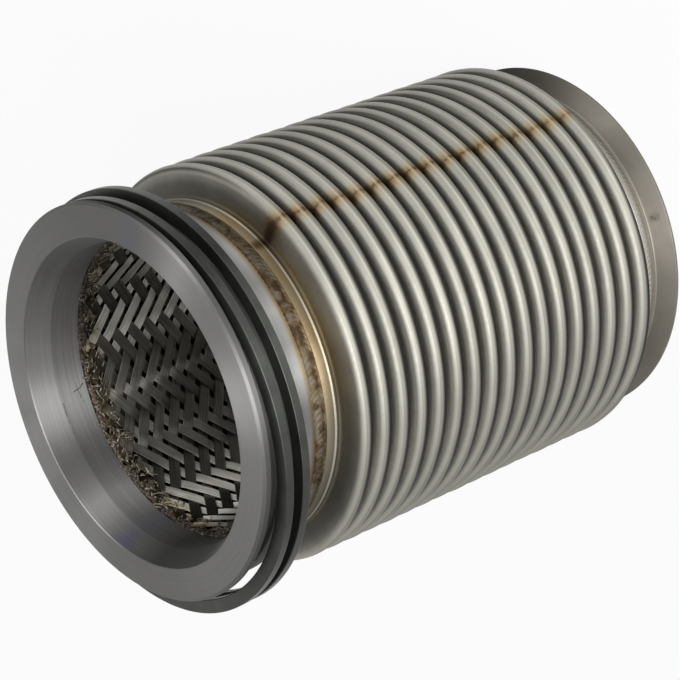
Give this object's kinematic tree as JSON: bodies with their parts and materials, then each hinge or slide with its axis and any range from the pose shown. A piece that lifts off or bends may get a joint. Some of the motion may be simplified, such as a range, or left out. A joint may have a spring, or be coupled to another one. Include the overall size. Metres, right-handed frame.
{
  "type": "exhaust flex pipe",
  "caption": "Flexible steel exhaust connector: formed bellows over a braided liner, turned adapter with loose seal rings, conical rear flange.",
  "frame": {"origin": "centre of the rear flange's flat face", "axes": "+Z along the pipe's axis from the rear flange to the adapter's mouth, +X away from the side on which the loose rings droop"},
  "size_m": [0.1269, 0.1268, 0.1716],
  "materials": {
    "turned_steel": "turned, satin, dull grey",
    "seal_iron": "dark ground faces",
    "bellows_steel": "formed sheet, satin, heat tinted along the seam",
    "weld_steel": "weld bead with straw and brown heat tint",
    "flange_steel": "turned, satin",
    "braid_wire": "flat drawn wire, woven",
    "liner_weld": "burnt brown weld"
  },
  "bodies": {
    "root": {"adapter_ring": "turned_steel", "seal_ring_front": "seal_iron", "seal_ring_rear": "seal_iron", "bellows": "bellows_steel", "weld_bead_front": "weld_steel", "weld_bead_rear": "weld_steel", "rear_flange": "flange_steel", "braided_liner": "braid_wire", "liner_weld_front": "liner_weld", "liner_weld_rear": "liner_weld"}
  },
  "joints": []
}
